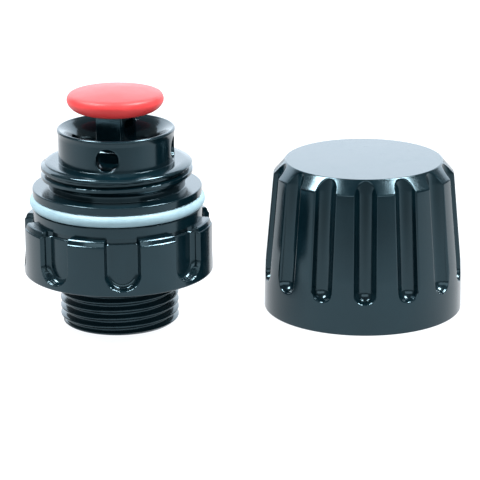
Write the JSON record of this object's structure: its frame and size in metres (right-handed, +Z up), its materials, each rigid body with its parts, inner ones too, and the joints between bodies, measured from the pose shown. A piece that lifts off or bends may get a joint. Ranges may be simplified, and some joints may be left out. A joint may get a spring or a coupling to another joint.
{
  "type": "automatic air vent",
  "caption": "Automatic air vent with a float chamber, a push button for venting by hand, a threaded stem and a loose fluted screw cap.",
  "frame": {"origin": "on the vent's axis, at the end face of the inlet stem, which is also the surface that vent and cap stand on", "axes": "+Z up along the vent's axis towards the button, +X from the vent towards the cap, -Y is the front"},
  "size_m": [0.1239, 0.0651, 0.0665],
  "materials": {
    "black_plastic": "glossy moulded",
    "red_plastic": "satin moulded",
    "pale_rubber": "smooth matte",
    "black_rubber": "matte",
    "white_plastic": "natural moulded",
    "stainless": "brushed",
    "brass": "turned"
  },
  "bodies": {
    "vent": {"base_body": "black_plastic", "bonnet": "black_plastic", "cap_seal_ring": "pale_rubber", "housing_seal_ring": "black_rubber", "inlet_strainer": "stainless", "strainer_ring": "stainless", "nozzle_seat": "brass", "nozzle_seal_ring": "black_rubber", "lever_bracket": "stainless", "bracket_screws": "stainless", "pivot_pin": "stainless", "pivot_clip": "stainless", "button_spring": "stainless"},
    "button": {"vent_button": "red_plastic", "button_stem": "black_plastic", "valve_plate": "white_plastic", "plate_seal": "black_rubber", "plate_screw": "stainless"},
    "float": {"float_shell": "white_plastic", "float_lid": "white_plastic", "float_yoke": "white_plastic"},
    "lever": {"lever_fork": "white_plastic", "valve_pad": "black_rubber", "link_pin": "stainless"},
    "cap_carrier": {"cap_gasket": "black_rubber"},
    "cap": {"cap": "black_plastic"}
  },
  "joints": [
    {"name": "button_press", "type": "slide", "parent": "vent", "child": "button", "axis": [0, 0, -1], "range_m": [0, 0.0025], "stiffness_N_per_m": 230, "springref_m": -0.003, "deforming": ["button_spring"]},
    {"name": "float_lift", "type": "slide", "parent": "vent", "child": "float", "axis": [0, 0, 1], "range_m": [0, 0.004]},
    {"name": "lever_swing", "type": "hinge", "parent": "vent", "child": "lever", "pos_m": [-0.0118, 0, 0.0374], "axis": [0, -1, 0], "range_deg": [0, 11.1]},
    {"name": "cap_lift", "type": "slide", "parent": "vent", "child": "cap_carrier", "axis": [0, 0, 1], "range_m": [0, 0.04]},
    {"name": "cap_turn", "type": "hinge", "parent": "cap_carrier", "child": "cap", "pos_m": [0.0692, 0.0105, 0], "axis": [0, 0, 1], "continuous": true}
  ],
  "couplings": [
    {"joint": "lever_swing", "follows": "float_lift", "rad_per_m": 48.38}
  ]
}
